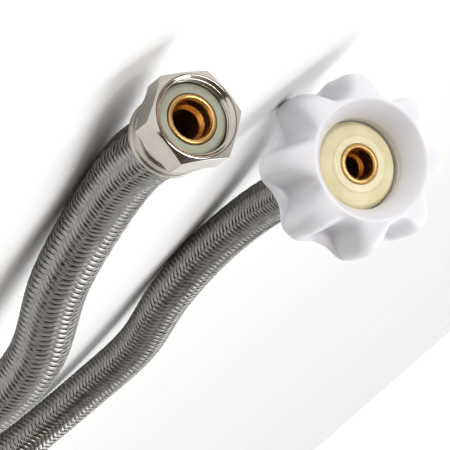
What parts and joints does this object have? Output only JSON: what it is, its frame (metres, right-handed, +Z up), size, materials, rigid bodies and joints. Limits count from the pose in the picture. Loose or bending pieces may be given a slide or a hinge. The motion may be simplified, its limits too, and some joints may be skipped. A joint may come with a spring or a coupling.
{
  "type": "braided supply line",
  "caption": "Stainless-braided toilet supply hose, 20 in long, laid in a wide U, with a swivelling hex compression nut on one end and a swivelling lobed plastic ballcock nut on the other.",
  "frame": {"origin": "on the surface that the line lies on, at the centre of the box round the two end fittings", "axes": "+Z up from that surface, both mouths towards -Y, +X from the ballcock fitting to the compression fitting"},
  "size_m": [0.175, 0.2626, 0.0438],
  "materials": {
    "nickel_plate": "bright nickel plate on brass, lightly turned",
    "ferrule_steel": "satin drawn steel with crimp rings",
    "brass": "turned, bright",
    "white_plastic": "moulded, semi-gloss, slightly translucent",
    "cream_rubber": "smooth moulded",
    "grey_rubber": "smooth moulded",
    "steel_braid": "woven bright wire",
    "tube_lining": "extruded, dull"
  },
  "bodies": {
    "hose": {"braid": "steel_braid", "inner_tube": "tube_lining", "compression_insert": "brass", "compression_ferrule": "ferrule_steel", "compression_cone_washer": "grey_rubber", "ballcock_insert": "brass", "ballcock_ferrule": "ferrule_steel", "ballcock_cone_washer": "cream_rubber"},
    "compression_nut": {"compression_nut": "nickel_plate"},
    "ballcock_nut": {"ballcock_nut": "white_plastic"}
  },
  "joints": [
    {"name": "compression_nut_spin", "type": "hinge", "parent": "hose", "child": "compression_nut", "pos_m": [0.04245, -0.06514, 0.0134], "axis": [-0.1022, -0.9721, 0.2113], "continuous": true},
    {"name": "ballcock_nut_spin", "type": "hinge", "parent": "hose", "child": "ballcock_nut", "pos_m": [-0.02945, 0.03226, 0.02534], "axis": [0, -0.9613, 0.2756], "continuous": true}
  ]
}
